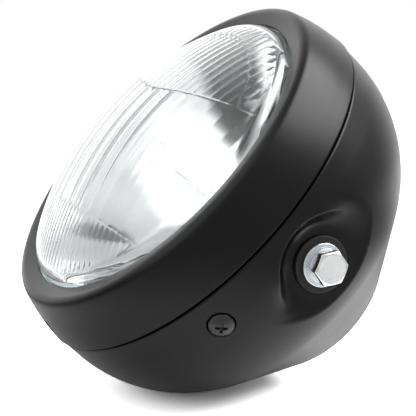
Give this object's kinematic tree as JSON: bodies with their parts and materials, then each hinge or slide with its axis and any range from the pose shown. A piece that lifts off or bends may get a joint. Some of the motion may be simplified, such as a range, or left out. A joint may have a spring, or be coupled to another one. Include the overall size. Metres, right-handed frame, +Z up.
{
  "type": "round motorcycle headlight",
  "caption": "Round satin black motorcycle headlight with a domed fluted glass, a rolled trim ring and a rounded bucket held by a bolt on each side.",
  "frame": {"origin": "where the common axis of the two side bolts crosses the optical axis", "axes": "+X along the side bolts, +Y rearwards along the optical axis so that the glass faces -Y, +Z up as the lamp sits on the motorcycle"},
  "size_m": [0.1752, 0.1401, 0.1752],
  "materials": {
    "black_paint": "satin",
    "lens_glass": "gloss",
    "bulb_glass": "gloss",
    "black_rubber": "matte",
    "seal_bead": "matte",
    "mirror_dish": "mirror",
    "spring_steel": "satin",
    "zinc_plate": "bright",
    "plain_steel": "satin",
    "bulb_metal": "satin",
    "black_screw": "satin",
    "spacer_plastic": "satin",
    "insulator_plastic": "matte",
    "terminal_brass": "satin",
    "tungsten": "satin"
  },
  "bodies": {
    "root": {"bucket": "black_paint", "trim_ring": "black_paint", "lens": "lens_glass", "lens_gasket": "seal_bead", "lens_seal": "seal_bead", "reflector": "mirror_dish", "unit_clips": "spring_steel", "bulb_seat_ring": "spring_steel", "bulb_flange": "bulb_metal", "bulb_cap": "bulb_metal", "bulb_glass": "bulb_glass", "bulb_filaments": "tungsten", "bulb_insulator": "insulator_plastic", "bulb_terminals": "terminal_brass", "bulb_clip": "spring_steel", "bulb_clip_screw": "zinc_plate", "bulb_boot": "black_rubber", "ring_tabs": "black_paint", "top_hook": "black_paint", "tab_nuts": "zinc_plate", "ring_screws": "black_screw", "side_bolts": "zinc_plate", "spring_washers": "zinc_plate", "flat_washers": "zinc_plate", "side_spacers": "spacer_plastic", "weld_nuts": "plain_steel", "wire_grommet": "black_rubber"}
  },
  "joints": []
}
